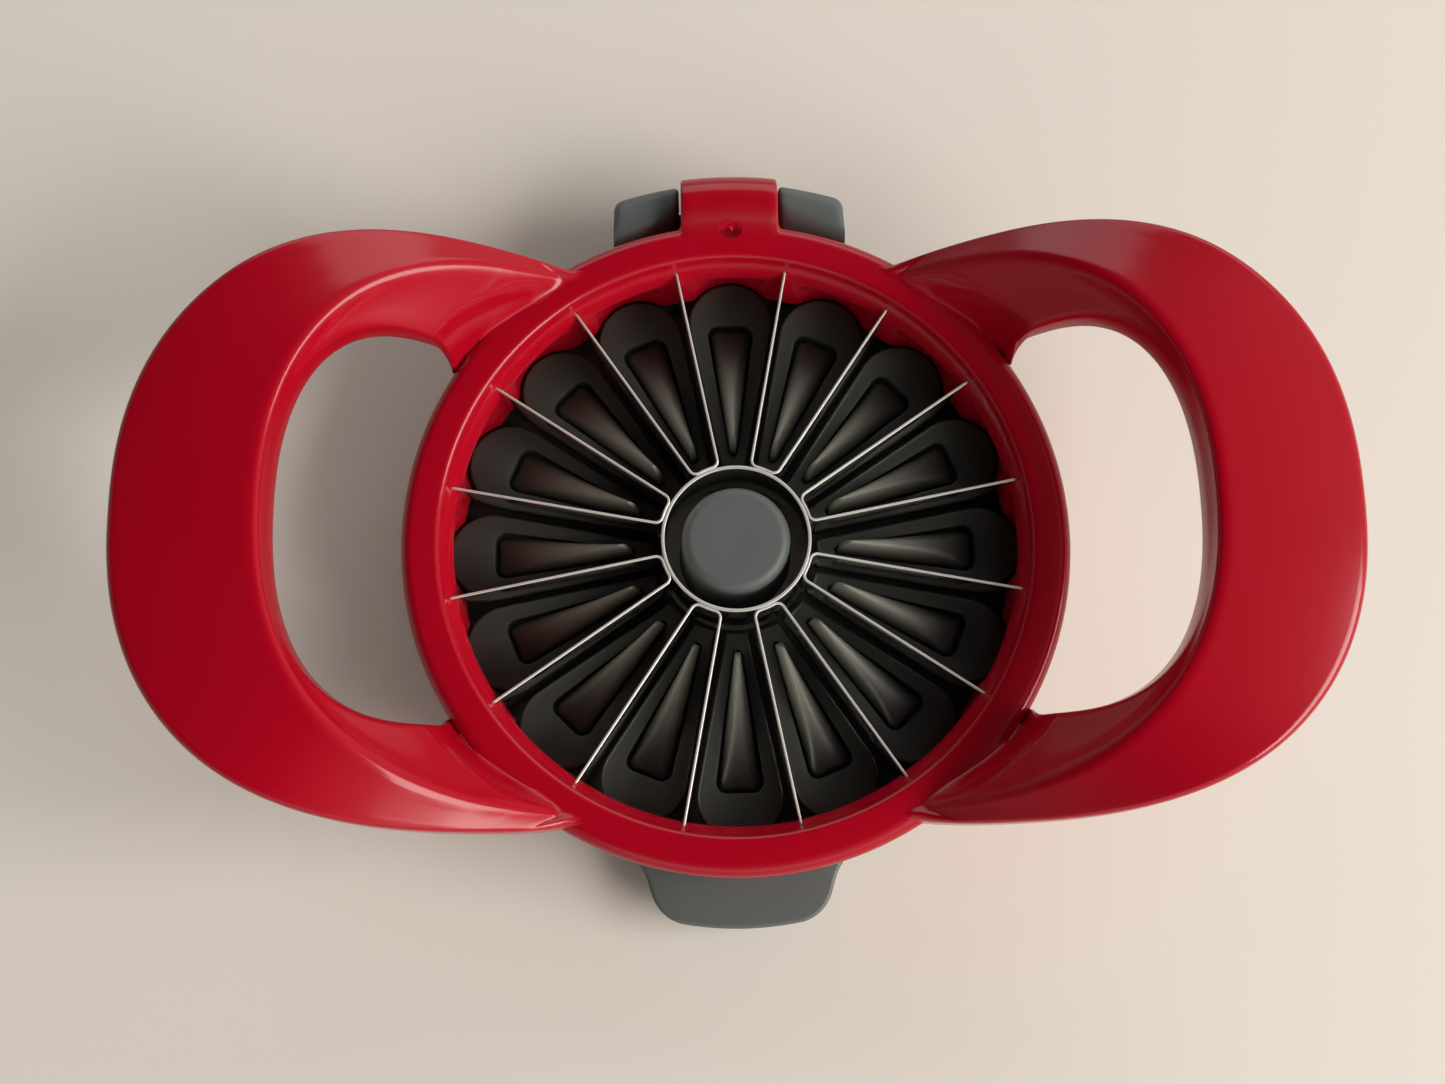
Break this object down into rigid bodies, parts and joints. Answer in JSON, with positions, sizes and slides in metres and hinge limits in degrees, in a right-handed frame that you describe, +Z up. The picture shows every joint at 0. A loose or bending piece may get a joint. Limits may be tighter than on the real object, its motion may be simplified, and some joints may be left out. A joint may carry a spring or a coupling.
{
  "type": "hand slicer and corer",
  "caption": "Round hand slicer and corer for apples: ring with raised loop handles, radial steel cutting legs, core tube, and a hinged fingered base that pushes the slices out.",
  "frame": {"origin": "middle of the bounding box, on the table that the foot pads stand on", "axes": "+Z up, +X from the left handle to the right handle, +Y towards the hinge"},
  "size_m": [0.2054, 0.14, 0.0547],
  "materials": {
    "red_plastic": "smooth moulded gloss",
    "blade_steel": "rolled strip with a ground edge",
    "pin_steel": "drawn wire",
    "grey_plastic": "fine matt texture",
    "finger_plastic": "satin moulded",
    "pad_rubber": "matt non-slip"
  },
  "bodies": {
    "base": {"base_tray": "grey_plastic", "finger_plate": "finger_plastic", "core_post": "grey_plastic", "front_tab": "grey_plastic", "left_knuckle": "grey_plastic", "right_knuckle": "grey_plastic", "hinge_pin": "pin_steel", "foot_pad_1": "pad_rubber", "foot_pad_2": "pad_rubber", "foot_pad_3": "pad_rubber", "foot_pad_4": "pad_rubber"},
    "frame": {"frame_ring": "red_plastic", "left_handle": "red_plastic", "right_handle": "red_plastic", "blade_holder": "red_plastic", "core_tube": "blade_steel", "blade_strip_1": "blade_steel", "blade_strip_2": "blade_steel", "blade_strip_3": "blade_steel", "blade_strip_4": "blade_steel", "blade_strip_5": "blade_steel", "blade_strip_6": "blade_steel", "blade_strip_7": "blade_steel", "blade_strip_8": "blade_steel"}
  },
  "joints": [
    {"name": "base_hinge", "type": "hinge", "parent": "base", "child": "frame", "pos_m": [0, 0.064, 0.015], "axis": [-1, 0, 0], "range_deg": [0, 130]}
  ]
}
